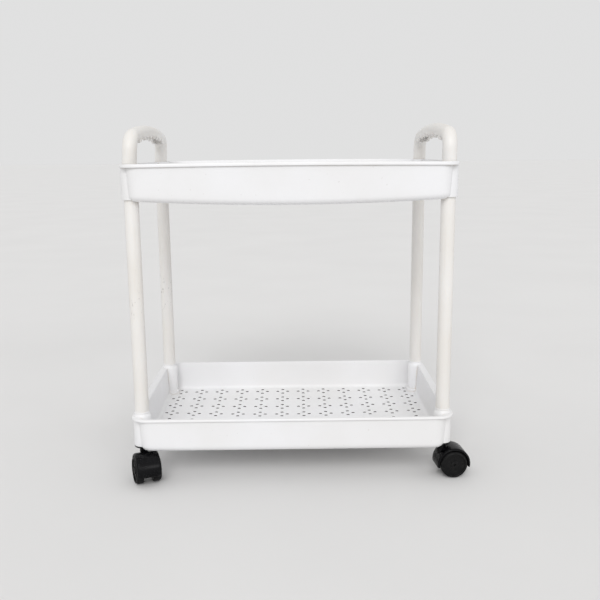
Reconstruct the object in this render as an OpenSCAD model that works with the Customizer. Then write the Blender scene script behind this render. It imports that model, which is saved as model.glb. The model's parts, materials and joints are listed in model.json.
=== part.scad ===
// Two-tier push cart: two perforated trays on four tubular posts, two arched
// handles across the ends and four twin-wheel swivel casters.
// X runs along the cart, Y from front to back, Z up from the floor it stands on.

/* [Cart] */
// Distance between the left and right posts
post_span_x = 412; // [360:2:480]
// Distance between the front and rear posts
post_span_y = 238; // [200:2:280]
// Height of the lower tray's rim
lower_rim_z = 92; // [91:1:105]
// Height of the upper tray's rim
upper_rim_z = 430; // [340:1:520]

/* [Trays] */
// How far the rim reaches beyond the post centres at each end
rim_reach_x = 13.5; // [13.5:0.5:16]
// How far the rim reaches beyond the post centres at front and back
rim_reach_y = 25; // [24:0.5:28]
// Height of a tray
tray_h = 47.5; // [44:0.5:48.5]
// Thickness of the tray walls
wall_t = 2.2; // [1.6:0.1:3]
// Thickness of the tray floor
floor_t = 2; // [1.6:0.1:3]
// How far each wall leans in from top to bottom
draft = 2.7; // [0:0.1:3]
// Height of the bead along the rim
bead_h = 4.3; // [3:0.1:6]
// Radius of the rim's corners
rim_corner_r = 23; // [20:0.5:26]
// Size of the bevel where the walls meet the floor
edge_bevel = 5; // [3:0.5:5]
// Outer diameter of the corner sleeves
sleeve_d = 24; // [22.5:0.5:25]
// Height of the conical collar round each post above the lower rim
collar_h = 4.5; // [2:0.5:6]

/* [Perforation] */
// Number of four-hole groups along the tray
group_columns = 12; // [4:1:12]
// Number of four-hole groups across the tray
group_rows = 8; // [3:1:8]
// Distance between groups
group_pitch = 34.25; // [26:0.25:34.25]
// Distance of each hole from the centre of its group
hole_offset = 8.25; // [6:0.25:8.25]
// Diameter of a drain hole
hole_d = 5; // [3:0.1:5]

/* [Posts and handles] */
// Outer diameter of a post
post_d = 18; // [16:0.5:18]
// Wall thickness of a post
post_wall = 1.6; // [1.2:0.1:3]
// Outer diameter of a handle tube
handle_d = 19; // [18:0.5:20]
// Height of a handle above the upper rim
handle_h = 52; // [48:1:70]
// Radius of the gentle crown along the top of a handle
crown_r = 780; // [500:10:1200]
// Centre-line radius of a handle's corners
corner_r = 20; // [12:0.5:20]
// Number of finger grooves under each handle
groove_count = 7; // [1:2:7]
// Distance between finger grooves
groove_pitch = 24; // [20:1:24]
// Depth of a finger groove
groove_depth = 4.8; // [2:0.2:6]
// Width of the open channel along the underside of a handle
channel_w = 11.6; // [6:0.2:12]
// Thickness of a handle above that channel
grip_wall = 2.8; // [2:0.1:4]

/* [Casters] */
// Wheel diameter
wheel_d = 38; // [36:0.5:38]
// Width of one wheel
wheel_w = 10; // [9:0.5:10]
// Width of the hood's spine between the two wheels
spine_w = 13; // [10:0.5:13]
// Overall width over both wheels
caster_w = 34; // [34:0.5:40]
// Distance from the swivel axis back to the axle
trail = 14.5; // [14:0.5:18]
// Outer radius of the hood
hood_r = 22.8; // [22:0.1:23]
// Diameter of the axle
axle_d = 5; // [4:0.5:6]
// Diameter of the swivel stem
stem_d = 8; // [7:0.5:9]
// Direction in which the front left caster trails
trail_front_left = -69; // [-180:1:180]
// Direction in which the front right caster trails
trail_front_right = 5; // [-180:1:180]
// Direction in which the rear left caster trails
trail_rear_left = -130; // [-180:1:180]
// Direction in which the rear right caster trails
trail_rear_right = -45; // [-180:1:180]

/* [Hidden] */

$fn = 64;
eps = 0.01;
// Roundness of the tapered tray shell's corners
shell_fn = 32;
// Running clearance on a radius, for pins, stems and spigots
clearance = 0.05;

tray_white = "whitesmoke";
tube_cream = "linen";
caster_black = [0.06, 0.06, 0.065];
steel = "silver";

// Corner signs: x is -1 at the left, y is -1 at the front
FRONT_LEFT = [-1, -1];
FRONT_RIGHT = [1, -1];
REAR_LEFT = [-1, 1];
REAR_RIGHT = [1, 1];
CORNERS = [FRONT_LEFT, FRONT_RIGHT, REAR_LEFT, REAR_RIGHT];

post_x = post_span_x / 2;
post_y = post_span_y / 2;
rim_x = post_x + rim_reach_x;
rim_y = post_y + rim_reach_y;
lower_tray_z = lower_rim_z - tray_h;
upper_tray_z = upper_rim_z - tray_h;

// The walls stand in from the rim: well in at the ends, where the sleeves
// straddle them, and only a little at front and back.
wall_inset_x = 8.8;
wall_inset_y = 2.3;
wall_corner_r = 18;

// Outside the walls a sleeve stops short of the floor, and inside it stands
// on a boss that is hollow underneath. A web closes its bore half-way up.
sleeve_lift = 5;
upper_sleeve_lift = 2;
boss_t = 2;
recess_gap = 0.4;
web_low = 24;
web_high = 27;
socket_bore_r = post_d / 2 + clearance;
// A collar stands a little in from its sleeve and clear of its post, and thins
// to a lip at the top.
collar_step = 0.4;
collar_gap = 0.3;
collar_lip = 0.6;

wheel_r = wheel_d / 2;
axle_z = wheel_r;
wheel_side = caster_w / 2 - wheel_w;
hood_t = 2.2;
hood_w = 31;
// The hood and its spine end this far below the axle.
tip_drop = 4;
neck_r = 5.4;
neck_gap = 0.7;
flange_t = 1.8;
neck_top = lower_tray_z + sleeve_lift - flange_t - neck_gap;
socket_top = lower_tray_z + 22;
stem_low = 22;
stem_top = socket_top - 2;
ring_low = socket_top - 6;
ring_h = 1.6;

module at_corner(corner) {
    translate([corner.x * post_x, corner.y * post_y, 0]) children();
}

// ---------------------------------------------------------------- trays

// Rounded rectangle given by its half sizes and corner radius.
module rounded_rect(half_x, half_y, r) {
    square([2 * half_x, 2 * (half_y - r)], center = true);
    square([2 * (half_x - r), 2 * half_y], center = true);
    for (corner = CORNERS)
        translate([corner.x * (half_x - r), corner.y * (half_y - r)]) circle(r);
}

// One level of the tapered shell: a wafer at height z, shrunk by inset.
module shell_level(z, inset) {
    half_x = rim_x - wall_inset_x - inset;
    half_y = rim_y - wall_inset_y - inset;
    r = max(wall_corner_r - inset, 2);
    translate([0, 0, z]) linear_extrude(eps)
        rounded_rect(half_x, half_y, r, $fn = shell_fn);
}

// Solid tray block: bevelled at the floor and leaning out to the top.
module shell_block(bottom_z, top_z, inset) {
    hull() {
        shell_level(bottom_z, draft + inset + edge_bevel);
        shell_level(bottom_z + edge_bevel, draft * 0.9 + inset);
        shell_level(top_z - eps, inset);
    }
}

// Holes of the perforated floor, leaving out those under the sleeves.
module floor_holes() {
    for (column = [0 : group_columns - 1], row = [0 : group_rows - 1])
        for (quarter = [0 : 3]) {
            x = (column - (group_columns - 1) / 2) * group_pitch + hole_offset * cos(90 * quarter);
            y = (row - (group_rows - 1) / 2) * group_pitch + hole_offset * sin(90 * quarter);
            gap = norm([abs(x) - post_x, abs(y) - post_y]);
            if (gap > (sleeve_d + hole_d) / 2 + 0.5)
                translate([x, y]) circle(d = hole_d, $fn = 16);
        }
}

// Flat field of the floor inside the bevel
module floor_field() {
    inset = draft + wall_t + edge_bevel + 0.4;
    rounded_rect(rim_x - wall_inset_x - inset, rim_y - wall_inset_y - inset, 6);
}

// Bead along the rim: it hangs out past the walls and round the sleeves.
module rim_bead() {
    translate([0, 0, tray_h - bead_h]) linear_extrude(bead_h) difference() {
        rounded_rect(rim_x, rim_y, rim_corner_r);
        rounded_rect(rim_x - wall_inset_x - wall_t, rim_y - wall_inset_y - wall_t,
                     wall_corner_r - wall_t);
    }
}

module sleeves(r, bottom_z, top_z) {
    for (corner = CORNERS)
        at_corner(corner) translate([0, 0, bottom_z]) cylinder(r = r, h = top_z - bottom_z);
}

// Bosses that carry the sleeves inside the tray
module sleeve_bosses(lift) {
    intersection() {
        sleeves(sleeve_d / 2 + recess_gap + boss_t, 0, lift + boss_t);
        shell_block(0, tray_h, 0);
    }
}

// Collars that rise from the rim round the posts
module collars() {
    for (corner = CORNERS)
        at_corner(corner) translate([0, 0, tray_h - 1])
            cylinder(r1 = sleeve_d / 2 - collar_step, r2 = post_d / 2 + collar_gap + collar_lip,
                     h = collar_h + 1);
}

// lift is the height of the sleeves' lower ends above the tray's underside.
module tray(lift, collared) {
    difference() {
        union() {
            if (collared) collars();
            sleeve_bosses(lift);
            difference() {
                shell_block(0, tray_h, 0);
                shell_block(floor_t, tray_h + 1, wall_t);
                translate([0, 0, -1]) linear_extrude(floor_t + 2) floor_field();
            }
            linear_extrude(floor_t) difference() {
                floor_field();
                floor_holes();
            }
            rim_bead();
            sleeves(sleeve_d / 2, lift, tray_h);
        }
        sleeves(socket_bore_r, web_high, tray_h + 1);
        if (collared) sleeves(post_d / 2 + collar_gap, tray_h, tray_h + collar_h + 1);
        sleeves(socket_bore_r, -1, web_low);
        sleeves(sleeve_d / 2 + recess_gap, -1, lift);
    }
}

module lower_tray() {
    color(tray_white) translate([0, 0, lower_tray_z]) tray(sleeve_lift, true);
}

module upper_tray() {
    color(tray_white) translate([0, 0, upper_tray_z]) tray(upper_sleeve_lift, false);
}

// ---------------------------------------------------------------- posts

// Tube that stands in a lower sleeve and carries an upper one.
module post(corner) {
    low = lower_tray_z + web_high;
    high = upper_tray_z + web_low;
    color(tube_cream) at_corner(corner) translate([0, 0, low]) difference() {
        cylinder(d = post_d, h = high - low);
        translate([0, 0, -1]) cylinder(d = post_d - 2 * post_wall, h = high - low + 2);
    }
}

// -------------------------------------------------------------- handles

// Centre-line of the arch: a crown of large radius joined to each leg by a
// small arc, both arcs running tangent into each other.
crown_z = upper_rim_z + handle_h - handle_d / 2;
crown_centre_z = crown_z - crown_r;
corner_y = post_y - corner_r;
crown_angle = asin(corner_y / (crown_r - corner_r));
// The crown is a hair slimmer than the corners and runs a little way into them.
crown_slim = 0.15;
crown_reach = 0.08;
corner_z = round(crown_centre_z + (crown_r - corner_r) * cos(crown_angle));
groove_r = (pow(groove_pitch / 2, 2) + pow(groove_depth, 2)) / (2 * groove_depth);

// The grip's side walls reach this far round the crown, and the channel
// between them stops short of their ends by one wall.
grip_angle = 7.2;
wall_angle = 0.2;
// How far the outsides of the grip's walls stand in from the bar's widest line
grip_flat = 0.4;

// Round bar bent through an angle about the X axis, starting level with +Y.
module bent_bar(bend_r, bar_r, angle) {
    rotate([90, 0, 90]) rotate_extrude(angle = angle, $fn = 96)
        translate([bend_r, 0]) circle(bar_r, $fn = 48);
}

// Cross-section of a handle's grip below its round bar: two side walls whose
// inner faces bound the channel. Drawn with the centre of the bend towards -X.
module grip_walls(bar_r) {
    translate([-bar_r, -bar_r + grip_flat]) square([bar_r, 2 * (bar_r - grip_flat)]);
}

module grip_channel(bar_r) {
    circle(bar_r - grip_wall, $fn = 48);
    translate([-bar_r - 1, -channel_w / 2]) square([bar_r + 1, channel_w]);
}

// Sweeps a cross-section along the crown, between angles either side of its middle.
module along_crown(half_angle) {
    translate([0, 0, crown_centre_z]) rotate([90 - half_angle, 0, 0])
        rotate([90, 0, 90]) rotate_extrude(angle = 2 * half_angle, $fn = 900)
            translate([crown_r, 0]) children();
}

module handle(side) {
    bar_r = handle_d / 2;
    spigot_low = upper_tray_z + web_high;
    color(tube_cream) translate([side * post_x, 0, 0]) difference() {
        union() {
            for (end = [-1, 1]) {
                translate([0, end * post_y, upper_rim_z])
                    cylinder(r = bar_r, h = corner_z - upper_rim_z);
                translate([0, end * post_y, spigot_low])
                    cylinder(r = post_d / 2, h = upper_rim_z - spigot_low + eps);
            }
            for (flip = [0, 1])
                mirror([0, flip, 0]) translate([0, corner_y, corner_z])
                    bent_bar(corner_r, bar_r, 90 - crown_angle);
            along_crown(crown_angle + crown_reach) circle(bar_r - crown_slim, $fn = 48);
            along_crown(grip_angle) grip_walls(bar_r);
        }
        along_crown(grip_angle - wall_angle) grip_channel(bar_r);
        for (i = [0 : groove_count - 1]) {
            angle = (i - (groove_count - 1) / 2) * groove_pitch / crown_r * 180 / PI;
            translate([0, 0, crown_centre_z]) rotate([-angle, 0, 0])
                translate([0, 0, crown_r - bar_r + groove_depth - groove_r])
                    rotate([0, 90, 0]) cylinder(r = groove_r, h = handle_d + 2, center = true);
        }
        for (end = [-1, 1])
            translate([0, end * post_y, spigot_low - 1])
                cylinder(d = post_d - 2 * post_wall, h = corner_z - spigot_low - 2);
    }
}

// -------------------------------------------------------------- casters

// Bush that plugs into the sleeve from below and holds the stem.
module socket(corner) {
    color(caster_black) at_corner(corner) difference() {
        union() {
            translate([0, 0, lower_tray_z + sleeve_lift - flange_t])
                cylinder(d = sleeve_d - 0.6, h = flange_t);
            translate([0, 0, lower_tray_z + sleeve_lift - eps])
                cylinder(d = post_d, h = socket_top - lower_tray_z - sleeve_lift + eps);
        }
        translate([0, 0, neck_top - 1]) cylinder(r = stem_d / 2 + clearance, h = 40);
        translate([0, 0, ring_low - 0.4]) cylinder(r = stem_d / 2 + 1.3, h = ring_h + 0.8);
    }
}

// Puts children, drawn with the trail along +X, at a caster's place.
module at_caster(corner, heading) {
    at_corner(corner) rotate([0, 0, heading]) children();
}

// Cylinder lying along the axle, centred on the caster
module axle_cylinder(r, w) {
    translate([trail, 0, axle_z]) rotate([90, 0, 0]) cylinder(r = r, h = w, center = true);
}

module stem(corner, heading) {
    color(steel) at_caster(corner, heading) difference() {
        union() {
            translate([0, 0, stem_low]) cylinder(d = stem_d, h = stem_top - 1 - stem_low);
            translate([0, 0, stem_top - 1 - eps]) cylinder(d1 = stem_d, d2 = stem_d - 2, h = 1);
        }
        translate([0, 0, ring_low - 0.1]) difference() {
            cylinder(d = stem_d + 2, h = ring_h + 0.2);
            translate([0, 0, -1]) cylinder(r = stem_d / 2 - 0.8, h = ring_h + 2.2);
        }
    }
}

// Split spring ring in the stem's groove
module snap_ring(corner, heading) {
    color(steel) at_caster(corner, heading) translate([0, 0, ring_low]) difference() {
        cylinder(r = stem_d / 2 + 0.9, h = ring_h);
        translate([0, 0, -1]) cylinder(r = stem_d / 2 - 0.75, h = ring_h + 2);
        translate([0, -0.8, -1]) cube([stem_d, 1.6, ring_h + 2]);
    }
}

// Curved fender over both wheels, a spine between them and the neck.
module hood(corner, heading) {
    color(caster_black) at_caster(corner, heading) difference() {
        union() {
            difference() {
                axle_cylinder(hood_r, hood_w);
                axle_cylinder(hood_r - hood_t, hood_w + 2);
                translate([trail - 30, -30, axle_z - tip_drop - 60]) cube([60, 60, 60]);
            }
            intersection() {
                axle_cylinder(hood_r - hood_t / 2, spine_w);
                translate([trail - 30, -30, axle_z - tip_drop]) cube([60, 60, 60]);
            }
            translate([0, 0, axle_z - 4]) cylinder(r = neck_r, h = neck_top - axle_z + 4);
        }
        axle_cylinder(axle_d / 2, caster_w);
        translate([0, 0, stem_low]) cylinder(d = stem_d, h = 40);
    }
}

module axle(corner, heading) {
    color(steel) at_caster(corner, heading) axle_cylinder(axle_d / 2, caster_w - 6);
}

// Wheel drawn about Z, with its outer face towards +Z from z = 0.
module wheel_profile() {
    rim_r = wheel_r;
    bore_r = axle_d / 2 + clearance;
    rotate_extrude($fn = 96) polygon([
        [bore_r, 0],
        [6.5, 0],
        [6.5, wheel_w - 5],
        [rim_r - 3.5, wheel_w - 5],
        [rim_r - 3.5, 0],
        [rim_r - 1.2, 0],
        [rim_r, 1.2],
        [rim_r, wheel_w - 1.5],
        [rim_r - 1.5, wheel_w],
        [rim_r - 3, wheel_w],
        [rim_r - 3.8, wheel_w - 0.8],
        [5.5, wheel_w - 0.8],
        [4.7, wheel_w],
        [2, wheel_w],
        [1.4, wheel_w - 1.5],
        [0, wheel_w - 1.5],
        [0, wheel_w - 2.5],
        [bore_r, wheel_w - 2.5]
    ]);
}

// side is -1 or 1 along the axle
module wheel(corner, heading, side) {
    color(caster_black) at_caster(corner, heading)
        translate([trail, side * wheel_side, axle_z]) rotate([-90 * side, 0, 0]) wheel_profile();
}

lower_tray();
upper_tray();
handle(-1);  // handle_left
handle(1);  // handle_right
post(FRONT_LEFT);  // post_front_left
post(FRONT_RIGHT);  // post_front_right
post(REAR_LEFT);  // post_rear_left
post(REAR_RIGHT);  // post_rear_right
socket(FRONT_LEFT);  // socket_front_left
socket(FRONT_RIGHT);  // socket_front_right
socket(REAR_LEFT);  // socket_rear_left
socket(REAR_RIGHT);  // socket_rear_right
stem(FRONT_LEFT, trail_front_left);  // stem_front_left
stem(FRONT_RIGHT, trail_front_right);  // stem_front_right
stem(REAR_LEFT, trail_rear_left);  // stem_rear_left
stem(REAR_RIGHT, trail_rear_right);  // stem_rear_right
snap_ring(FRONT_LEFT, trail_front_left);  // snap_ring_front_left
snap_ring(FRONT_RIGHT, trail_front_right);  // snap_ring_front_right
snap_ring(REAR_LEFT, trail_rear_left);  // snap_ring_rear_left
snap_ring(REAR_RIGHT, trail_rear_right);  // snap_ring_rear_right
hood(FRONT_LEFT, trail_front_left);  // hood_front_left
hood(FRONT_RIGHT, trail_front_right);  // hood_front_right
hood(REAR_LEFT, trail_rear_left);  // hood_rear_left
hood(REAR_RIGHT, trail_rear_right);  // hood_rear_right
axle(FRONT_LEFT, trail_front_left);  // axle_front_left
axle(FRONT_RIGHT, trail_front_right);  // axle_front_right
axle(REAR_LEFT, trail_rear_left);  // axle_rear_left
axle(REAR_RIGHT, trail_rear_right);  // axle_rear_right
wheel(FRONT_LEFT, trail_front_left, -1);  // wheel_front_left_a
wheel(FRONT_LEFT, trail_front_left, 1);  // wheel_front_left_b
wheel(FRONT_RIGHT, trail_front_right, -1);  // wheel_front_right_a
wheel(FRONT_RIGHT, trail_front_right, 1);  // wheel_front_right_b
wheel(REAR_LEFT, trail_rear_left, -1);  // wheel_rear_left_a
wheel(REAR_LEFT, trail_rear_left, 1);  // wheel_rear_left_b
wheel(REAR_RIGHT, trail_rear_right, -1);  // wheel_rear_right_a
wheel(REAR_RIGHT, trail_rear_right, 1);  // wheel_rear_right_b
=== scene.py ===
import functools
import json
import math

import bmesh
import bpy
from mathutils import Matrix, Vector
from mathutils.geometry import delaunay_2d_cdt
from mathutils.kdtree import KDTree


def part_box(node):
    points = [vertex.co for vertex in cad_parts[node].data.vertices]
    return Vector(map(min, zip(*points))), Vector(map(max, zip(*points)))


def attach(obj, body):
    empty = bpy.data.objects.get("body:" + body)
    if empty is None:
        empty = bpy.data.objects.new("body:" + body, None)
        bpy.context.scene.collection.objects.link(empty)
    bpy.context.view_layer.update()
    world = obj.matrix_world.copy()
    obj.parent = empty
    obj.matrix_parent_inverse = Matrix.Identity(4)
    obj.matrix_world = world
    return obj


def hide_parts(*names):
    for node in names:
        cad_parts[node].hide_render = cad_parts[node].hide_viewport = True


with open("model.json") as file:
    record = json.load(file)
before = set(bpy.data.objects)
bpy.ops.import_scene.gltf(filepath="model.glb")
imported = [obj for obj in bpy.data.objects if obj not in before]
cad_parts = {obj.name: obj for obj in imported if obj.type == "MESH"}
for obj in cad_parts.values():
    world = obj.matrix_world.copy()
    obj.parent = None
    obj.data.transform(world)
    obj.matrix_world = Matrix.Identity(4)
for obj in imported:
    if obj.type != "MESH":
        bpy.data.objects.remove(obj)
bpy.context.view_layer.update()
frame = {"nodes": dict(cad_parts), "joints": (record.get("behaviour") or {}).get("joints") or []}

MM = 0.001
CORNERS = ("front_left", "front_right", "rear_left", "rear_right")
SIDES = {"left": -1, "right": 1}

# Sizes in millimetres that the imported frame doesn't say by itself
TUBE_WALL = 1.6
WALL = 2.2
FLOOR = 2.0
DRAFT = 2.7
TRAY_HEIGHT = 47.5
RIM_TO_WALL = Vector((8.8, 2.3))
WALL_CORNER = 18.0
RIM_CORNER = 23.0
OUTER_FILLET = 7.7
INNER_FILLET = 5.5
OUTER_STEPS = 8
INNER_STEPS = 6

# Where the trays differ. lift is the height of the sleeves' lower ends and collar
# that of the collars above the rim. The floor sinks by bow along its whole depth
# and by dish in its middle, and the rim rises by arch half-way along. The bead
# is bead_height thick, and stands in by trim at the ends.
TRAYS = {
    "lower_tray": {"lift": 5.0, "collar": 4.5, "bow": 0.0, "dish": 4.5, "arch": 0.0,
                   "bead_height": 3.4, "trim": 0.0},
    "upper_tray": {"lift": 2.0, "collar": 0.0, "bow": 5.7, "dish": 2.0, "arch": 1.2,
                   "bead_height": 4.4, "trim": 1.2},
}
# Half sizes of the part of a tray that sags, and the heights between which the
# sinking of the floor fades out and the rise of the rim fades in
SAG_REACH = Vector((200, 131))
FLOOR_SINKS_BELOW = (9, 35)
RIM_RISES_ABOVE = (14, 44)

# Radii of the corner sleeves, and the web that closes their bores
SLEEVE = 12.0
RECESS = 12.4
BOSS = 14.4
BOSS_TOP = 2.0
SOCKET_BORE = 9.05
WEB_LOW = 24.0
WEB_HIGH = 27.0
COLLAR_FOOT = 11.4
COLLAR_LIP = 0.4

# The drain holes stand in groups of four.
GROUP_COLUMNS = 12
GROUP_ROWS = 8
GROUP_PITCH = 34.25
HOLE_OFFSET = 8.25
HOLE = 2.5
HOLE_CHAMFER = 0.35
HOLE_SIDES = 16


# ------------------------------------------------------------ mesh helpers

def add_ring(bm, points):
    """One vertex for each point, all in millimetres."""
    return [bm.verts.new(p) for p in points]


def bridge(bm, ring_a, ring_b):
    """Faces between two closed rings; a ring of one vertex is a pole."""
    if len(ring_a) == 1 and len(ring_b) == 1:
        return
    count = max(len(ring_a), len(ring_b))
    for i in range(count):
        j = (i + 1) % count
        corners = [ring_a[i % len(ring_a)], ring_a[j % len(ring_a)],
                   ring_b[j % len(ring_b)], ring_b[i % len(ring_b)]]
        if len(ring_a) == 1:
            corners.pop(1)
        elif len(ring_b) == 1:
            corners.pop()
        bm.faces.new(corners)


def soften(corners, steps=4):
    """Softens a closed outline, given as (x, y, radius) corners, to points. A corner
    becomes an arc about the centre of a fillet of its radius, but always 1 mm from
    it: a radius under 1 leaves the edge raised by the difference, and one over 1
    leaves it sunk. A radius of 0 keeps the corner sharp."""
    points = []
    for i, (x, y, radius) in enumerate(corners):
        here = Vector((x, y))
        if radius == 0:
            points.append(here)
            continue
        back = (Vector(corners[i - 1][:2]) - here).normalized()
        ahead = (Vector(corners[(i + 1) % len(corners)][:2]) - here).normalized()
        half = back.angle(ahead) / 2
        centre = here + (back + ahead).normalized() * radius / math.sin(half)
        start = here + back * radius / math.tan(half) - centre
        end = here + ahead * radius / math.tan(half) - centre
        points += [centre + start.slerp(end, step / steps) for step in range(steps + 1)]
    return points


def lathe(bm, outline, sides=64, place=Matrix.Identity(4)):
    """Turns a closed outline of (radius, height) points about Z."""
    rings = []
    for radius, height in outline:
        count = sides if radius > 1e-6 else 1
        turns = [2 * math.pi * i / count for i in range(count)]
        rings.append(add_ring(bm, [
            place @ Vector((radius * math.cos(a), radius * math.sin(a), height)) for a in turns]))
    for i, ring in enumerate(rings):
        bridge(bm, rings[i - 1], ring)


def as_object(bm, name="scratch"):
    bmesh.ops.recalc_face_normals(bm, faces=bm.faces)
    mesh = bpy.data.meshes.new(name)
    bm.to_mesh(mesh)
    bm.free()
    obj = bpy.data.objects.new(name, mesh)
    bpy.context.scene.collection.objects.link(obj)
    return obj


def discard(obj):
    mesh = obj.data
    bpy.data.objects.remove(obj)
    bpy.data.meshes.remove(mesh)


def combine(bm, other, operation):
    """Joins, cuts or intersects two closed meshes; both are used up."""
    base, tool = as_object(bm), as_object(other)
    change = base.modifiers.new("combine", "BOOLEAN")
    change.operation = operation
    change.solver = "MANIFOLD"
    change.object = tool
    bpy.context.view_layer.update()
    result = bmesh.new()
    result.from_object(base, bpy.context.evaluated_depsgraph_get())
    discard(base)
    discard(tool)
    return result


def finish_piece(name, bm, materials, body, replaced=(), crease=32, index_of=None):
    """Makes the shown object from a mesh in millimetres, smooth except at its edges."""
    bmesh.ops.remove_doubles(bm, verts=bm.verts, dist=0.0005)
    bmesh.ops.recalc_face_normals(bm, faces=bm.faces)
    if index_of:
        for face in bm.faces:
            face.material_index = index_of(face)
    bmesh.ops.scale(bm, vec=(MM, MM, MM), verts=bm.verts)
    for face in bm.faces:
        face.smooth = True
    for edge in bm.edges:
        edge.smooth = len(edge.link_faces) == 2 and edge.calc_face_angle() < math.radians(crease)
    obj = as_object(bm, name)
    for material in materials:
        obj.data.materials.append(material)
    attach(obj, body)
    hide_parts(*replaced)
    return obj


# --------------------------------------------------------------- materials

def new_material(name):
    material = bpy.data.materials.new(name)
    material.use_nodes = True
    tree = material.node_tree
    shader = tree.nodes["Principled BSDF"]
    return material, tree, shader


def noise(tree, scale, detail=4.0, stretch=(1, 1, 1)):
    """Noise over the object's own coordinates, in features per metre."""
    where = tree.nodes.new("ShaderNodeTexCoord")
    fit = tree.nodes.new("ShaderNodeMapping")
    fit.inputs["Scale"].default_value = stretch
    texture = tree.nodes.new("ShaderNodeTexNoise")
    texture.inputs["Scale"].default_value = scale
    texture.inputs["Detail"].default_value = detail
    tree.links.new(where.outputs["Object"], fit.inputs["Vector"])
    tree.links.new(fit.outputs["Vector"], texture.inputs["Vector"])
    return texture.outputs["Fac"]


def ramp(tree, value, low, high, start=0.0, end=1.0):
    """Maps a value from low..high to start..end, held at both ends."""
    node = tree.nodes.new("ShaderNodeMapRange")
    node.inputs["From Min"].default_value = low
    node.inputs["From Max"].default_value = high
    node.inputs["To Min"].default_value = start
    node.inputs["To Max"].default_value = end
    tree.links.new(value, node.inputs["Value"])
    return node.outputs["Result"]


def product(tree, a, b):
    node = tree.nodes.new("ShaderNodeMath")
    node.operation = "MULTIPLY"
    tree.links.new(a, node.inputs[0])
    tree.links.new(b, node.inputs[1])
    return node.outputs["Value"]


def blend_colour(tree, share, colour_a, colour_b):
    """Mixes from a to b; each is a colour or another node's output."""
    node = tree.nodes.new("ShaderNodeMix")
    node.data_type = "RGBA"
    tree.links.new(share, node.inputs["Factor"])
    for key, colour in (("A", colour_a), ("B", colour_b)):
        socket = [s for s in node.inputs if s.name == key and s.type == "RGBA"][0]
        if isinstance(colour, tuple):
            socket.default_value = (*colour, 1)
        else:
            tree.links.new(colour, socket)
    return [s for s in node.outputs if s.type == "RGBA"][0]


def add_bump(tree, shader, heights):
    """Stacks bumps, given as (height output, strength, distance in metres)."""
    normal = None
    for height, strength, distance in heights:
        node = tree.nodes.new("ShaderNodeBump")
        node.inputs["Strength"].default_value = strength
        node.inputs["Distance"].default_value = distance
        tree.links.new(height, node.inputs["Height"])
        if normal is not None:
            tree.links.new(normal, node.inputs["Normal"])
        normal = node.outputs["Normal"]
    tree.links.new(normal, shader.inputs["Normal"])


def crevice(tree, distance):
    """1 in open places, falling towards 0 in crevices narrower than distance."""
    node = tree.nodes.new("ShaderNodeAmbientOcclusion")
    node.samples = 8
    node.inputs["Distance"].default_value = distance
    return node.outputs["AO"]


def tray_material():
    """Injection-moulded white polypropylene with a satin grain, specks of grime, and warm shade painted
    into its crevices.
    """
    material, tree, shader = new_material("white_plastic")
    clean = blend_colour(tree, ramp(tree, noise(tree, 7), 0.35, 0.65),
                         (0.83, 0.83, 0.845), (0.79, 0.785, 0.785))
    # Painted shade: crevices found by ambient occlusion turn a warm tan, more in some patches than in
    # others.
    painted_shade = product(tree, ramp(tree, crevice(tree, 0.006), 0.75, 0.3),
                    ramp(tree, noise(tree, 45), 0.35, 0.7, 0.15, 0.8))
    shade_painted_white = blend_colour(tree, painted_shade, clean, (0.62, 0.53, 0.41))
    specks = ramp(tree, noise(tree, 260, 2), 0.74, 0.78, 0, 0.35)
    tree.links.new(blend_colour(tree, specks, shade_painted_white, (0.45, 0.42, 0.38)),
                   shader.inputs["Base Color"])
    tree.links.new(ramp(tree, noise(tree, 60), 0.3, 0.7, 0.34, 0.5), shader.inputs["Roughness"])
    shader.inputs["Subsurface Weight"].default_value = 0.08
    shader.inputs["Subsurface Radius"].default_value = (0.004, 0.004, 0.004)
    shader.inputs["IOR"].default_value = 1.49
    add_bump(tree, shader, [(noise(tree, 18, 2), 0.25, 0.0006), (noise(tree, 2200, 2), 0.12, 0.00005)])
    return material


def hole_material():
    """Painted shade: dark walls inside the drain holes, standing in for the shadow seen through them."""
    material, tree, shader = new_material("hole_painted_shade")
    tree.links.new(blend_colour(tree, ramp(tree, noise(tree, 90), 0.35, 0.65),
                                (0.04, 0.038, 0.035), (0.12, 0.115, 0.105)),
                   shader.inputs["Base Color"])
    shader.inputs["Roughness"].default_value = 0.8
    return material


def tube_material():
    """Creamy blow-moulded tube with long faint streaks and a few scuffs."""
    material, tree, shader = new_material("cream_plastic")
    clean = blend_colour(tree, ramp(tree, noise(tree, 9), 0.35, 0.65),
                         (0.80, 0.785, 0.765), (0.76, 0.735, 0.70))
    streaks = ramp(tree, noise(tree, 160, 3, (1, 1, 0.08)), 0.6, 0.75, 0, 0.25)
    streaked = blend_colour(tree, streaks, clean, (0.68, 0.64, 0.59))
    scuffs = product(tree, ramp(tree, noise(tree, 420, 6, (1, 1, 0.35)), 0.62, 0.68),
                     ramp(tree, noise(tree, 14, 1), 0.6, 0.72))
    tree.links.new(blend_colour(tree, scuffs, streaked, (0.30, 0.29, 0.28)),
                   shader.inputs["Base Color"])
    tree.links.new(ramp(tree, noise(tree, 80), 0.3, 0.7, 0.32, 0.48), shader.inputs["Roughness"])
    shader.inputs["Subsurface Weight"].default_value = 0.08
    shader.inputs["Subsurface Radius"].default_value = (0.004, 0.0035, 0.003)
    shader.inputs["IOR"].default_value = 1.49
    add_bump(tree, shader, [(noise(tree, 30, 2, (1, 1, 0.3)), 0.2, 0.0004),
                            (noise(tree, 1800, 2), 0.1, 0.00005)])
    return material


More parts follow.
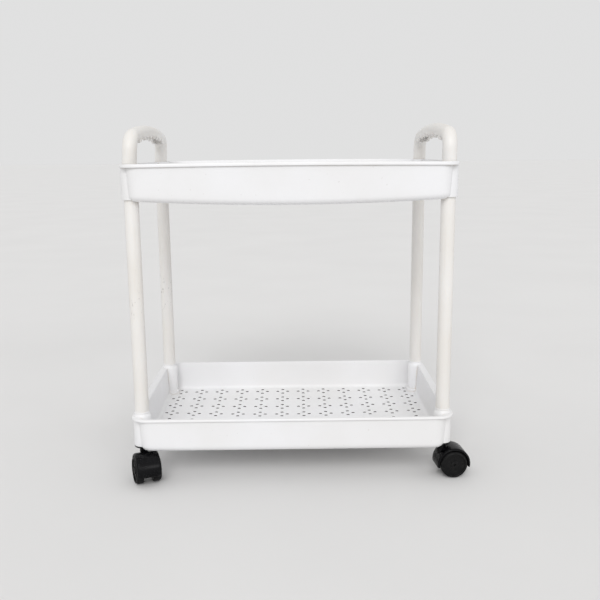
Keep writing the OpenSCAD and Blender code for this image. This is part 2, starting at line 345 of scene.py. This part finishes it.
def caster_material():
    """Black nylon: fine grain, paler where it is scuffed and dusty."""
    material, tree, shader = new_material("black_plastic")
    plain = blend_colour(tree, ramp(tree, noise(tree, 35), 0.35, 0.65),
                         (0.002, 0.002, 0.0025), (0.005, 0.005, 0.006))
    scuffs = ramp(tree, noise(tree, 520, 5), 0.6, 0.72, 0, 0.2)
    tree.links.new(blend_colour(tree, scuffs, plain, (0.05, 0.05, 0.05)),
                   shader.inputs["Base Color"])
    shader.inputs["Specular IOR Level"].default_value = 0.13
    tree.links.new(ramp(tree, noise(tree, 120), 0.3, 0.7, 0.2, 0.32), shader.inputs["Roughness"])
    add_bump(tree, shader, [(noise(tree, 2600, 3), 0.2, 0.00008)])
    return material


def wheel_material():
    """Black wheel plastic with patches of grey dust and a roughness that varies from place to place."""
    material, tree, shader = new_material("wheel_plastic")
    plain = blend_colour(tree, ramp(tree, noise(tree, 50), 0.35, 0.65),
                         (0.004, 0.004, 0.0045), (0.009, 0.009, 0.009))
    dust = ramp(tree, noise(tree, 700, 6), 0.5, 0.7, 0, 0.25)
    tree.links.new(blend_colour(tree, dust, plain, (0.06, 0.058, 0.055)),
                   shader.inputs["Base Color"])
    shader.inputs["Specular IOR Level"].default_value = 0.11
    tree.links.new(ramp(tree, noise(tree, 150), 0.3, 0.7, 0.36, 0.6), shader.inputs["Roughness"])
    add_bump(tree, shader, [(noise(tree, 1500, 4), 0.3, 0.0001)])
    return material


def steel_material():
    """Zinc-plated steel with fine turning marks."""
    material, tree, shader = new_material("zinc_steel")
    tree.links.new(blend_colour(tree, ramp(tree, noise(tree, 300), 0.35, 0.65),
                                (0.60, 0.61, 0.62), (0.45, 0.45, 0.46)),
                   shader.inputs["Base Color"])
    shader.inputs["Metallic"].default_value = 1
    tree.links.new(ramp(tree, noise(tree, 400), 0.3, 0.7, 0.25, 0.45), shader.inputs["Roughness"])
    add_bump(tree, shader, [(noise(tree, 900, 2, (0.1, 0.1, 3)), 0.25, 0.00005)])
    return material


def floor_material():
    """Plain pale paper."""
    material, tree, shader = new_material("pale_floor")
    tree.links.new(blend_colour(tree, ramp(tree, noise(tree, 3), 0.3, 0.7),
                                (0.74, 0.735, 0.73), (0.72, 0.715, 0.71)),
                   shader.inputs["Base Color"])
    shader.inputs["Roughness"].default_value = 0.9
    add_bump(tree, shader, [(noise(tree, 400, 2), 0.05, 0.0001)])
    return material


# ------------------------------------------------------------------- trays

ARC_STEPS = 10
LONG_STEPS = 36
SHORT_STEPS = 20


def rounded_rectangle(half, radius):
    """Anticlockwise outline with the same number of points at any size."""
    points = []
    signs = ((1, 1), (-1, 1), (-1, -1), (1, -1))
    for quarter, sign in enumerate(signs):
        centre = [sign[axis] * (half[axis] - radius) for axis in (0, 1)]
        for step in range(ARC_STEPS + 1):
            angle = math.pi / 2 * (quarter + step / ARC_STEPS)
            points.append(Vector((centre[0] + radius * math.cos(angle),
                                  centre[1] + radius * math.sin(angle))))
        following = signs[(quarter + 1) % 4]
        target = Vector([following[axis] * (half[axis] - radius) for axis in (0, 1)])
        angle = math.pi / 2 * (quarter + 1)
        target += radius * Vector((math.cos(angle), math.sin(angle)))
        steps = LONG_STEPS if quarter % 2 == 0 else SHORT_STEPS
        start = points[-1]
        points += [start + (target - start) * (step / steps) for step in range(1, steps)]
    return points


def tray_levels(rim, kind):
    """The shell's cross-section from the floor's upper edge over the rim to its
    lower edge, as (half sizes, corner radius, height) of nested outlines."""
    height = TRAY_HEIGHT
    under = height - kind["bead_height"]

    def wall(inset, z):
        lean = DRAFT * (1 - z / height)
        depth = inset + lean
        return rim - RIM_TO_WALL - Vector((depth, depth)), max(WALL_CORNER - depth, 3.0), z

    def bead(inset, z):
        return rim - Vector((inset + kind["trim"], inset)), RIM_CORNER - inset, z

    floor_inset = DRAFT + OUTER_FILLET
    levels = []
    for step in range(INNER_STEPS + 1):
        angle = math.pi / 2 * step / INNER_STEPS
        z = FLOOR + INNER_FILLET * (1 - math.cos(angle))
        full = floor_inset - WALL - DRAFT * (1 - z / height)
        levels.append(wall(WALL + full * (1 - math.sin(angle)), z))
    levels += [wall(WALL, z) for z in (height * 0.35, height * 0.6, height * 0.82)]
    levels += [wall(WALL, height - 0.9), wall(WALL - 0.15, height - 0.35), wall(WALL - 0.6, height)]
    levels += [bead(1.4, height), bead(0.45, height - 0.4), bead(0, height - 1.3)]
    levels += [bead(0, under + 0.5), bead(0.4, under), bead(1.6, under), bead(1.9, under + 0.3)]
    levels += [bead(1.9, height - 2.1), wall(0, height - 2.1)]
    levels += [wall(0, z) for z in (height - 5.2, height * 0.7, height * 0.45, height * 0.25)]
    for step in range(OUTER_STEPS + 1):
        angle = math.pi / 2 * step / OUTER_STEPS
        z = OUTER_FILLET * (1 - math.sin(angle))
        full = floor_inset - DRAFT * (1 - z / height)
        levels.append(wall(full * (1 - math.cos(angle)), z))
    return levels


def floor_holes():
    """Centres of the holes: groups of four on a square grid, none under a sleeve."""
    post = [abs(value) for value in post_place("front_left")]
    centres = []
    for column in range(GROUP_COLUMNS):
        for row in range(GROUP_ROWS):
            for quarter in range(4):
                angle = math.pi / 2 * quarter
                x = (column - (GROUP_COLUMNS - 1) / 2) * GROUP_PITCH + HOLE_OFFSET * math.cos(angle)
                y = (row - (GROUP_ROWS - 1) / 2) * GROUP_PITCH + HOLE_OFFSET * math.sin(angle)
                if math.hypot(abs(x) - post[0], abs(y) - post[1]) > SLEEVE + HOLE + 0.5:
                    centres.append(Vector((x, y)))
    return centres


def post_place(corner):
    """Centre of a post in X and Y, in millimetres."""
    low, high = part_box("post_" + corner)
    return ((low.x + high.x) / 2 / MM, (low.y + high.y) / 2 / MM)


def tube_radius(node):
    """Radius of a node that is as wide in X as its tube."""
    low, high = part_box(node)
    return (high.x - low.x) / 2 / MM


def circle(centre, radius, z):
    """Points round one drain hole."""
    turns = [2 * math.pi * side / HOLE_SIDES for side in range(HOLE_SIDES)]
    return [Vector((centre.x + radius * math.cos(a), centre.y + radius * math.sin(a), z)) for a in turns]


def floor_net(edge, centres):
    """Triangles of a floor inside its edge. Returns all points, the faces, the
    place of each point given, and the hole that each point belongs to."""
    points = list(edge)
    links = [(i, (i + 1) % len(edge)) for i in range(len(edge))]
    for centre in centres:
        first = len(points)
        points += [Vector(p[:2]) for p in circle(centre, HOLE + HOLE_CHAMFER, 0)]
        links += [(first + side, first + (side + 1) % HOLE_SIDES) for side in range(HOLE_SIDES)]
    half = GROUP_PITCH / 2
    for column in range(-GROUP_COLUMNS + 1, GROUP_COLUMNS):
        for row in range(-GROUP_ROWS + 1, GROUP_ROWS):
            points.append(Vector((column * half, row * half)))
    found, _, faces, sources = delaunay_2d_cdt(points, links, [], 0, 1e-6, True)[:4]
    place_of = {given: place for place, origins in enumerate(sources) for given in origins}
    hole_at = {place_of[len(edge) + i]: i // HOLE_SIDES for i in range(len(centres) * HOLE_SIDES)}
    return found, faces, place_of, hole_at


def perforate(bm, top_ring, bottom_ring):
    """Closes the shell between two rings with a floor full of chamfered holes."""
    centres = floor_holes()
    edge = [Vector(v.co[:2]) for v in top_ring]
    found, faces, place_of, hole_at = floor_net(edge, centres)
    top_z, bottom_z = top_ring[0].co.z, bottom_ring[0].co.z
    top = {place_of[i]: vert for i, vert in enumerate(top_ring)}
    bottom = {place_of[i]: vert for i, vert in enumerate(bottom_ring)}
    for place, point in enumerate(found):
        if place not in top:
            top[place] = bm.verts.new((point.x, point.y, top_z))
            bottom[place] = bm.verts.new((point.x, point.y, bottom_z))
    for face in faces:
        owners = {hole_at.get(place) for place in face}
        if len(owners) == 1 and None not in owners:
            continue
        bm.faces.new([top[place] for place in face])
        bm.faces.new([bottom[place] for place in reversed(face)])
    for i, centre in enumerate(centres):
        first = len(edge) + i * HOLE_SIDES
        places = [place_of[first + side] for side in range(HOLE_SIDES)]
        upper = add_ring(bm, circle(centre, HOLE, top_z - HOLE_CHAMFER))
        lower = add_ring(bm, circle(centre, HOLE, bottom_z + HOLE_CHAMFER))
        bridge(bm, [top[place] for place in places], upper)
        bridge(bm, upper, lower)
        bridge(bm, lower, [bottom[place] for place in places])


def sag_tray(bm, kind):
    """Lets the floor sink and the rim rise, most of all half-way along."""
    for vert in bm.verts:
        along = max(0.0, 1 - (vert.co.x / SAG_REACH.x) ** 2)
        across = max(0.0, 1 - (vert.co.y / SAG_REACH.y) ** 2)
        low = 1 - smooth_step(vert.co.z, *FLOOR_SINKS_BELOW)
        high = smooth_step(vert.co.z, *RIM_RISES_ABOVE)
        vert.co.z += along * (high * kind["arch"] - low * (kind["bow"] + kind["dish"] * across))


def smooth_step(value, start, end):
    """0 up to start, 1 from end on, and a smooth rise between them."""
    share = min(1.0, max(0.0, (value - start) / (end - start)))
    return share * share * (3 - 2 * share)


def at_posts(outline, sides=64):
    """The same turned shape at all four posts."""
    bm = bmesh.new()
    for corner in CORNERS:
        x, y = post_place(corner)
        lathe(bm, outline, sides, Matrix.Translation((x, y, 0)))
    return bm


def nested_rings(bm, levels):
    """Rings of vertices along the levels, with faces between each two."""
    rings = [add_ring(bm, [(p.x, p.y, z) for p in rounded_rectangle(half, radius)])
             for half, radius, z in levels]
    for ring_a, ring_b in zip(rings, rings[1:]):
        bridge(bm, ring_a, ring_b)
    return rings


def shell_block(levels):
    """The solid inside the outer wall, for trimming the sleeve bosses."""
    fillet = levels[-OUTER_STEPS - 1:]
    wall_low, wall_high = levels[-OUTER_STEPS - 2], levels[-OUTER_STEPS - 5]
    bm = bmesh.new()
    rings = nested_rings(bm, fillet[::-1] + [wall_low, wall_high])
    bm.faces.new(rings[0])
    bm.faces.new(rings[-1])
    return bm


def sleeve_outline(leg_r, kind):
    """Sleeve, with a concave collar that rises from the rim to a thin lip."""
    lift, collar = kind["lift"], kind["collar"]
    lip = leg_r + COLLAR_LIP
    outline = [(0, lift, 0), (SLEEVE - 0.3, lift, 0.6), (SLEEVE, TRAY_HEIGHT - 1.5, 0)]
    if not collar:
        return outline + [(SLEEVE - 0.4, TRAY_HEIGHT, 0), (0, TRAY_HEIGHT, 0)]
    steps = 6
    for step in range(steps):
        share = step / steps
        radius = lip + (COLLAR_FOOT - lip) * (1 - share) ** 2
        outline.append((radius, TRAY_HEIGHT + collar * share * 0.97, 0))
    return outline + [(lip, TRAY_HEIGHT + collar, 0.2), (0, TRAY_HEIGHT + collar, 0)]


def hole_index(face):
    """Material index of a tray's face: 1 on the walls of its holes."""
    middle = face.calc_center_median()
    if abs(face.normal.z) > 0.5:
        return 0
    return int(hole_tree().find((middle.x, middle.y, 0))[2] < HOLE + 0.2)


@functools.lru_cache
def hole_tree():
    """Finds the hole nearest to a point of a tray's floor."""
    centres = floor_holes()
    tree = KDTree(len(centres))
    for i, centre in enumerate(centres):
        tree.insert((centre.x, centre.y, 0), i)
    tree.balance()
    return tree


def add_sleeves(bm, levels, leg_r, kind):
    """Joins the corner sleeves and their bosses to the shell, and bores them."""
    lift, boss_top = kind["lift"], kind["lift"] + BOSS_TOP
    bosses = at_posts(soften([(0, -1, 0), (BOSS, -1, 0), (BOSS, boss_top, 0.8), (0, boss_top, 0)]))
    bosses = combine(bosses, shell_block(levels), "INTERSECT")
    bm = combine(bm, bosses, "UNION")
    bm = combine(bm, at_posts(soften(sleeve_outline(leg_r, kind))), "UNION")
    leg_bore, clear = leg_r + 0.1, TRAY_HEIGHT + 9
    from_above = at_posts([(0, WEB_HIGH), (SOCKET_BORE, WEB_HIGH), (SOCKET_BORE, TRAY_HEIGHT),
                           (leg_bore, TRAY_HEIGHT), (leg_bore, clear), (0, clear)])
    bm = combine(bm, from_above, "DIFFERENCE")
    from_below = at_posts([(0, -2), (RECESS, -2), (RECESS, lift), (SOCKET_BORE, lift),
                           (SOCKET_BORE, WEB_LOW), (0, WEB_LOW)])
    return combine(bm, from_below, "DIFFERENCE")


def tray(name, leg_r, materials):
    """leg_r is the radius of the tubes that rise from the tray."""
    kind = TRAYS[name]
    low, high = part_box(name)
    rim = Vector(((high.x - low.x) / 2 / MM, (high.y - low.y) / 2 / MM))
    levels = tray_levels(rim, kind)
    bm = bmesh.new()
    rings = nested_rings(bm, levels)
    perforate(bm, rings[0], rings[-1])
    sag_tray(bm, kind)
    bm = add_sleeves(bm, levels, leg_r, kind)
    bmesh.ops.translate(bm, vec=(0, 0, low.z / MM), verts=bm.verts)
    finish_piece(name + "_shell", bm, materials, "cart", [name], index_of=hole_index)


# ------------------------------------------------------- posts and handles

def post(corner, material):
    """Plain tube with softened ends."""
    low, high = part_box("post_" + corner)
    outer = tube_radius("post_" + corner)
    inner = outer - TUBE_WALL
    bm = bmesh.new()
    outline = soften([(inner, low.z / MM, 0.3), (outer, low.z / MM, 0.5),
                      (outer, high.z / MM, 0.5), (inner, high.z / MM, 0.3)])
    x, y = post_place(corner)
    lathe(bm, outline, 64, Matrix.Translation((x, y, 0)))
    finish_piece("post_" + corner + "_tube", bm, [material], "cart", ["post_" + corner])


# The grip is a stretch of the crown with straight sides and a channel underneath.
GRIP_REACH = 98.0
GRIP_BLEND = 2.0
GRIP_SIDE = 9.1
GRIP_EASE = 0.8
CHANNEL_HALF = 5.8
CHANNEL_R = 6.7
GROOVES = 7
GROOVE_PITCH = 24.0
GROOVE_DEPTH = 4.8
# Shares of a groove's length where the bar has a ring, closest at the cusps
GROOVE_RINGS = (0, 0.02, 0.06, 0.13, 0.21, 0.3, 0.4, 0.5, 0.6, 0.7, 0.79, 0.87, 0.94, 0.98, 1)
CROWN_R = 780.0
BEND_R = 20.0
LEG_STEPS = 6
BEND_STEPS = 12
# Points over the bar's outside, up each of its sides, and round its inside
OVER_STEPS = 40
SIDE_STEPS = 8
INSIDE_STEPS = 28
# How far a handle leans in for each millimetre above the rim
LEAN = {"left": 0.052, "right": -0.02}


def groove_depth(along):
    """How far the wall's lower edge is scooped out, at a distance from the middle."""
    reach = GROOVES * GROOVE_PITCH / 2
    if abs(along) >= reach:
        return 0.0
    offset = (along + reach) % GROOVE_PITCH - GROOVE_PITCH / 2
    radius = ((GROOVE_PITCH / 2) ** 2 + GROOVE_DEPTH ** 2) / (2 * GROOVE_DEPTH)
    return max(0.0, GROOVE_DEPTH - radius + math.sqrt(radius ** 2 - offset ** 2))


def round_section(radius):
    """Plain round bar, with its points in the same order as grip_section's."""
    mouth = math.asin(CHANNEL_HALF / radius)
    points = []
    for step in range(OVER_STEPS + 1):
        angle = -math.pi / 2 - mouth - (2 * math.pi - 2 * mouth) * step / OVER_STEPS
        points.append((radius * math.cos(angle), radius * math.sin(angle)))
    for step in range(1, INSIDE_STEPS):
        angle = -math.pi / 2 + mouth - 2 * mouth * step / INSIDE_STEPS
        points.append((radius * math.cos(angle), radius * math.sin(angle)))
    return points


def grip_section(radius, foot):
    """Bar with straight sides down to the height foot, and an open channel."""
    side = []
    for step in range(SIDE_STEPS + 1):
        share = step / SIDE_STEPS
        side.append((GRIP_SIDE + (radius - GRIP_SIDE) * share, (foot + GRIP_EASE) * (1 - share)))
    top_steps = OVER_STEPS - 2 * SIDE_STEPS
    turns = [math.pi * (1 - step / top_steps) for step in range(1, top_steps)]
    points = [(-x, y) for x, y in side]
    points += [(radius * math.cos(angle), radius * math.sin(angle)) for angle in turns]
    points += side[::-1]
    meet = -math.sqrt(CHANNEL_R ** 2 - CHANNEL_HALF ** 2)
    wall = [(GRIP_SIDE - 0.25, foot + 0.25), (GRIP_SIDE - GRIP_EASE, foot),
            (CHANNEL_HALF + GRIP_EASE, foot), (CHANNEL_HALF + 0.25, foot + 0.25),
            (CHANNEL_HALF, foot + GRIP_EASE), (CHANNEL_HALF, (foot + meet) / 2)]
    turn = math.asin(-meet / CHANNEL_R)
    arc_steps = INSIDE_STEPS - 2 - 2 * len(wall)
    points += wall
    for step in range(arc_steps + 1):
        angle = -turn + (math.pi + 2 * turn) * step / arc_steps
        points.append((CHANNEL_R * math.cos(angle), CHANNEL_R * math.sin(angle)))
    return points + [(-x, y) for x, y in reversed(wall)]


def bar_section(radius, grip, scoop):
    """Cross-section of the bar as (across, outwards) points: round where grip
    is 0, and with its channel where it is 1. scoop shortens the grip's sides."""
    pairs = zip(round_section(radius), grip_section(radius, scoop - radius))
    return [Vector(plain).lerp(Vector(gripped), grip) for plain, gripped in pairs]


def handle_stations(reach_y, rim_z, top_z, radius):
    """The bar's way over from the front post to the rear one. Each station is
    (y, z, tangent angle from +Y, distance along the crown or None)."""
    crown_z = top_z - radius
    centre_z = crown_z - CROWN_R
    corner_y = reach_y - BEND_R
    crown_angle = math.asin(corner_y / (CROWN_R - BEND_R))
    corner_z = centre_z + (CROWN_R - BEND_R) * math.cos(crown_angle)
    stations = []
    leg_low = rim_z + 0.5
    for step in range(LEG_STEPS):
        z = leg_low + (corner_z - leg_low) * step / LEG_STEPS
        stations.append((-reach_y, z, math.pi / 2, None))
    bend = math.pi / 2 - crown_angle
    for step in range(BEND_STEPS):
        angle = math.pi / 2 - bend * step / BEND_STEPS
        stations.append((-corner_y - BEND_R * math.sin(angle),
                         corner_z + BEND_R * math.cos(angle), angle, None))
    for along in crown_marks(crown_angle * CROWN_R):
        angle = along / CROWN_R
        stations.append((CROWN_R * math.sin(angle), centre_z + CROWN_R * math.cos(angle),
                         -angle, along))
    mirrored = [(-y, z, -angle, None) for y, z, angle, along in stations if along is None]
    return stations + mirrored[::-1]


def crown_marks(reach):
    """Distances along the crown where the bar has a ring."""
    marks = {-reach, reach, -GRIP_REACH - GRIP_BLEND, GRIP_REACH + GRIP_BLEND,
             -GRIP_REACH, GRIP_REACH, -GRIP_REACH + 5, GRIP_REACH - 5}
    half = GROOVES * GROOVE_PITCH / 2
    for groove in range(GROOVES):
        start = -half + groove * GROOVE_PITCH
        for share in GROOVE_RINGS:
            marks.add(round(start + share * GROOVE_PITCH, 4))
    return sorted(marks)


def handle(side, material):
    """Arched bar with a hollow spigot at each end."""
    node = "handle_" + side
    low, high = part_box(node)
    radius, spigot_r = tube_radius(node), tube_radius("post_front_left")
    centre_x = (high.x + low.x) / 2 / MM
    reach_y = (high.y - low.y) / 2 / MM - radius
    rim_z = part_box("upper_tray")[0].z / MM + TRAY_HEIGHT
    bm = bmesh.new()
    rings = []
    for y, z, angle, along in handle_stations(reach_y, rim_z, high.z / MM, radius):
        inside = GRIP_REACH + GRIP_BLEND - abs(along) if along is not None else 0
        grip = min(1.0, max(0.0, inside / GRIP_BLEND))
        scoop = groove_depth(along) if along is not None else 0.0
        outward = Vector((0, -math.sin(angle), math.cos(angle)))
        centre = Vector((centre_x, y, z))
        rings.append(add_ring(bm, [centre + Vector((u, 0, 0)) + v * outward
                                   for u, v in bar_section(radius, grip, scoop)]))
    for ring_a, ring_b in zip(rings, rings[1:]):
        bridge(bm, ring_a, ring_b)
    for end, ring in ((-1, rings[0]), (1, rings[-1])):
        close_spigot(bm, ring, Vector((centre_x, end * reach_y, 0)), rim_z, low.z / MM, spigot_r, radius)
    for vert in bm.verts:
        vert.co.x -= SIDES[side] * LEAN[side] * max(0.0, vert.co.z - rim_z)
    finish_piece(node + "_bar", bm, [material], "cart", [node])


def close_spigot(bm, ring, centre, rim_z, low_z, spigot_r, bar_r):
    """Carries a leg's last ring down as a hollow spigot and closes it inside."""
    inner_r = spigot_r - TUBE_WALL
    steps = [(bar_r - 0.3, rim_z), (spigot_r, rim_z), (spigot_r, low_z + 0.5),
             (spigot_r - 0.5, low_z), (inner_r, low_z), (inner_r, rim_z + 20)]
    for radius, z in steps:
        grow = radius / bar_r
        level = [(centre.x + (v.co.x - centre.x) * grow, centre.y + (v.co.y - centre.y) * grow, z)
                 for v in ring]
        following = add_ring(bm, level)
        bridge(bm, ring, following)
        ring, bar_r = following, radius
    bm.faces.new(ring)


# ----------------------------------------------------------------- casters

# A caster's radii, widths and heights. Widths of hood and spine are half ones.
STEM_BORE = 4.05
PLUG = 9.0
FLANGE = 1.8
NECK = 5.4
STEM_FIT = 4.02
AXLE_FIT = 2.52
HOOD_R = 22.8
HOOD_WALL = 2.2
HOOD_HALF = 15.5
HOOD_BEVEL = 1.6
TIP_DROP = 4.0
TIP_SOFT = 0.5
SPINE_HALF = 6.5
SPINE_BEVEL = 0.7
WHEEL_INNER = 7.0
WHEEL_WIDTH = 10.0
WHEEL_BORE = 2.55
HUB = 6.5
# The tread's inner edge, softened by 0.9, stands out by this much.
TREAD_RAISED = 0.1


def joint_place(name):
    """Where a joint is, in millimetres."""
    found = [j for j in frame["joints"] if j["name"] == name][0]
    return Vector(found["pos_m"]) / MM


def caster_place(corner):
    """Where a caster is, with its trail along local +X: (matrix, trail, axle height)."""
    swivel = joint_place("swivel_" + corner)
    roll = joint_place("roll_" + corner + "_a")
    away = roll - swivel
    trail = math.hypot(away.x, away.y)
    heading = math.atan2(away.y, away.x)
    place = Matrix.Translation((swivel.x, swivel.y, 0)) @ Matrix.Rotation(heading, 4, "Z")
    return place, trail, roll.z


def socket(corner, material):
    """Bush with a thin flange that shows under the sleeve."""
    low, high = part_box("socket_" + corner)
    x, y = post_place(corner)
    flange = tube_radius("socket_" + corner)
    bottom, top = low.z / MM, high.z / MM
    bm = bmesh.new()
    over = bottom + FLANGE
    outline = soften([(STEM_BORE, bottom, 0.3), (flange, bottom, 0.5), (flange, over, 0.5),
                      (PLUG, over, 0.4), (PLUG, top, 0.8), (STEM_BORE, top, 0.3)])
    lathe(bm, outline, 64, Matrix.Translation((x, y, 0)))
    finish_piece("socket_" + corner + "_bush", bm, [material], "cart",
                 ["socket_" + corner])


def hood_shell(trail, axle_z):
    """Curved fender over both wheels, with bevelled side edges and rounded tips."""
    inner = HOOD_R - HOOD_WALL
    section = soften([(-HOOD_HALF, inner, 0.3), (HOOD_HALF, inner, 0.3),
                      (HOOD_HALF, HOOD_R - 1.4, 0.4), (HOOD_HALF - HOOD_BEVEL, HOOD_R, 0.8),
                      (HOOD_BEVEL - HOOD_HALF, HOOD_R, 0.8), (-HOOD_HALF, HOOD_R - 1.4, 0.4)], 3)
    middle = (inner + HOOD_R) / 2
    tip = math.asin(TIP_DROP / HOOD_R)
    soft = TIP_SOFT / HOOD_R
    steps = 48
    turns = [(-tip - soft, 0.6), (-tip, 0)]
    turns += [(-tip + (math.pi + 2 * tip) * step / steps, 0) for step in range(1, steps)]
    turns += [(math.pi + tip, 0), (math.pi + tip + soft, 0.6)]
    bm = bmesh.new()
    rings = []
    for angle, pull in turns:
        points = []
        for w, rho in section:
            rho -= pull * (rho - middle) / HOOD_WALL
            w -= pull * w / HOOD_HALF
            points.append((trail + rho * math.cos(angle), w, axle_z + rho * math.sin(angle)))
        rings.append(add_ring(bm, points))
    for ring_a, ring_b in zip(rings, rings[1:]):
        bridge(bm, ring_a, ring_b)
    bm.faces.new(rings[0])
    bm.faces.new(rings[-1])
    return bm


def hood_spine(trail, axle_z):
    """Thick web between the two wheels, cut off level below the axle."""
    radius = HOOD_R - HOOD_WALL / 2
    start = -math.asin(TIP_DROP / radius)
    steps = 40
    outline = [(radius * math.cos(start + (math.pi - 2 * start) * i / steps),
                radius * math.sin(start + (math.pi - 2 * start) * i / steps))
               for i in range(steps + 1)]
    bm = bmesh.new()
    rings = []
    flat = SPINE_HALF - SPINE_BEVEL
    for w, shrink in ((-SPINE_HALF, SPINE_BEVEL), (-flat, 0), (flat, 0), (SPINE_HALF, SPINE_BEVEL)):
        factor = 1 - shrink / radius
        rings.append(add_ring(bm, [(trail + x * factor, w, axle_z + z * factor) for x, z in outline]))
    for ring_a, ring_b in zip(rings, rings[1:]):
        bridge(bm, ring_a, ring_b)
    bm.faces.new(rings[0])
    bm.faces.new(rings[-1])
    return bm


def hood(corner, material):
    """Fender, spine and neck in one piece, bored for the stem and the axle."""
    place, trail, axle_z = caster_place(corner)
    neck_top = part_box("hood_" + corner)[1].z / MM
    stem_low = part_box("stem_" + corner)[0].z / MM
    bm = combine(hood_shell(trail, axle_z), hood_spine(trail, axle_z), "UNION")
    neck_low, clear = axle_z - 3, neck_top + 5
    neck = bmesh.new()
    lathe(neck, soften([(0, neck_low, 0), (NECK, neck_low, 0), (NECK, neck_top, 0.6),
                        (0, neck_top, 0)], 6))
    bm = combine(bm, neck, "UNION")
    bore = bmesh.new()
    lathe(bore, [(0, stem_low), (STEM_FIT, stem_low), (STEM_FIT, clear), (0, clear)])
    bm = combine(bm, bore, "DIFFERENCE")
    hole = bmesh.new()
    across = Matrix.Translation((trail, 0, axle_z)) @ Matrix.Rotation(math.pi / 2, 4, "X")
    lathe(hole, [(0, -20), (AXLE_FIT, -20), (AXLE_FIT, 20), (0, 20)], 48, across)
    bm = combine(bm, hole, "DIFFERENCE")
    bmesh.ops.transform(bm, matrix=place, verts=bm.verts)
    finish_piece("hood_" + corner + "_fender", bm, [material], "caster_" + corner,
                 ["hood_" + corner])


def wheel(corner, letter, side, material):
    """Wheel with a rounded tread, a rim, a shallow dish, a hub boss and a dimple."""
    place, trail, axle_z = caster_place(corner)
    tread, width = axle_z - TREAD_RAISED, WHEEL_WIDTH
    outline = soften([
        (WHEEL_BORE, 0, 0.2), (HUB, 0, 0.3), (HUB, width - 5, 0.8), (tread - 3.5, width - 5, 0.8),
        (tread - 3.5, 0, 0.3), (tread - 1.2, 0, 0.5), (tread, 1.4, 0.9), (tread, width - 1.6, 1.3),
        (tread - 1.6, width, 0.9), (tread - 3, width, 0.3), (tread - 3.8, width - 0.8, 0.5),
        (5.8, width - 0.8, 0.6), (4.8, width - 0.1, 0.5), (2.2, width - 0.1, 0.3),
        (1.5, width - 1.5, 0.3), (0, width - 1.5, 0), (0, width - 2.5, 0),
        (WHEEL_BORE, width - 2.5, 0.2)])
    bm = bmesh.new()
    turn = Matrix.Rotation(-side * math.pi / 2, 4, "X")
    lathe(bm, outline, 72, place @ Matrix.Translation((trail, side * WHEEL_INNER, axle_z)) @ turn)
    node = f"wheel_{corner}_{letter}"
    finish_piece(node + "_disc", bm, [material], node, [node])


def fittings(corner, material):
    """The steel pieces keep their CAD shape and get their finish."""
    for part in ("stem", "snap_ring", "axle"):
        for slot in frame["nodes"][f"{part}_{corner}"].material_slots:
            slot.material = material


# ------------------------------------------------------------------- stage

def studio():
    """Pale floor, soft light from above the camera and its right, a pale surround."""
    half = 30.0
    bm = bmesh.new()
    bm.faces.new([bm.verts.new(p) for p in ((-half, -half, 0), (half, -half, 0),
                                            (half, half, 0), (-half, half, 0))])
    floor = as_object(bm, "floor")
    floor.data.materials.append(floor_material())
    world = bpy.data.worlds.new("surround")
    bpy.context.scene.world = world
    world.use_nodes = True
    world.node_tree.nodes["Background"].inputs["Color"].default_value = (1.0, 1.0, 1.0, 1)
    world.node_tree.nodes["Background"].inputs["Strength"].default_value = 0.75
    soft_sun("key", -6, 37, 1.2, 0.5)
    soft_sun("fill", 35, 28, 0.24, 0.25)
    bpy.context.scene.view_settings.view_transform = "Standard"


def soft_sun(name, azimuth, elevation, strength, spread):
    """Sunlight from azimuth degrees to the right of the camera."""
    data = bpy.data.lights.new(name, "SUN")
    data.energy = strength
    data.angle = spread
    lamp = bpy.data.objects.new(name, data)
    around, up = math.radians(azimuth), math.radians(elevation)
    source = Vector((math.sin(around) * math.cos(up), -math.cos(around) * math.cos(up), math.sin(up)))
    lamp.rotation_euler = source.to_track_quat("Z", "Y").to_euler()
    bpy.context.scene.collection.objects.link(lamp)


def camera():
    """A slightly long lens in front of the cart, just above the level of its upper rim."""
    data = bpy.data.cameras.new("camera")
    data.lens = 45.66
    data.sensor_width = 36
    data.clip_start = 0.01
    data.clip_end = 200
    eye = bpy.data.objects.new("camera", data)
    pitch, yaw, roll = (math.radians(a) for a in (-11.0796, -0.4202, -0.5406))
    turn = (Matrix.Rotation(yaw, 4, "Z") @ Matrix.Rotation(math.pi / 2 + pitch, 4, "X")
            @ Matrix.Rotation(roll, 4, "Z"))
    eye.matrix_world = Matrix.Translation((0.00438, -1.11487, 0.44451)) @ turn
    bpy.context.scene.collection.objects.link(eye)
    bpy.context.scene.camera = eye


def build():
    white, cream = tray_material(), tube_material()
    black, rubber, steel = caster_material(), wheel_material(), steel_material()
    # The trays' materials: white plastic with painted crevice shade, and painted shade for the walls of
    # the drain holes.
    painted_shade = [white, hole_material()]
    tray("lower_tray", tube_radius("post_front_left"), painted_shade)
    tray("upper_tray", tube_radius("handle_left"), painted_shade)
    for side in SIDES:
        handle(side, cream)
    for corner in CORNERS:
        post(corner, cream)
        socket(corner, black)
        hood(corner, black)
        wheel(corner, "a", -1, rubber)
        wheel(corner, "b", 1, rubber)
        fittings(corner, steel)


camera()
studio()
build()
